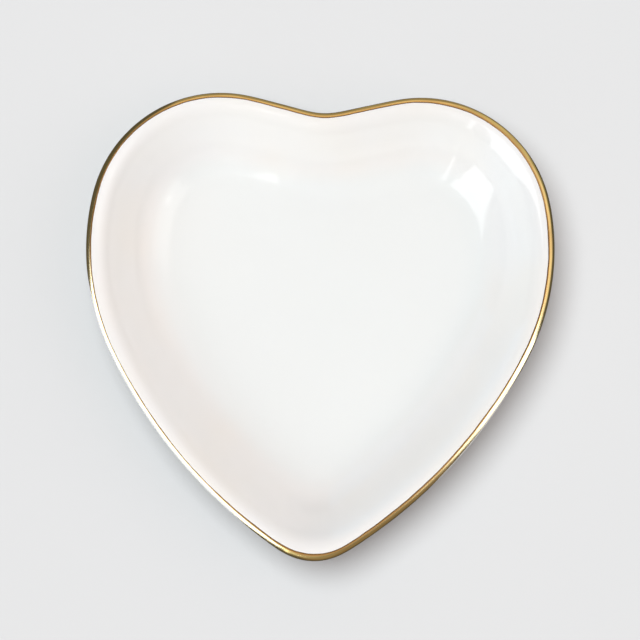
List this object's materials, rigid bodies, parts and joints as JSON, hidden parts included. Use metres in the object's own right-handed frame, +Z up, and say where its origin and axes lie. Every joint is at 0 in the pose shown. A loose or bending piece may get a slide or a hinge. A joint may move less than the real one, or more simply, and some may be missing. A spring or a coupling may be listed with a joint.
{
  "type": "heart-shaped trinket dish",
  "caption": "Shallow heart-shaped glazed porcelain trinket dish with a flaring S-curved wall, a rounded gilded lip, a flat floor and a heart-shaped foot ring.",
  "frame": {"origin": "on the table, under the middle of the dish's length and width", "axes": "+Z up out of the dish, +Y towards the notch between the lobes, -Y towards the point of the heart, +X to the right seen from the point"},
  "size_m": [0.1198, 0.1192, 0.02],
  "materials": {
    "glazed_porcelain": "clear gloss glaze over white porcelain",
    "fired_gold": "bright fired gold, hand banded, slightly worn",
    "bisque_porcelain": "bare matt porcelain, wiped clean of glaze"
  },
  "bodies": {
    "root": {"porcelain_dish": "glazed_porcelain", "gilt_rim_band": "fired_gold", "foot_ring": "bisque_porcelain"}
  },
  "joints": []
}
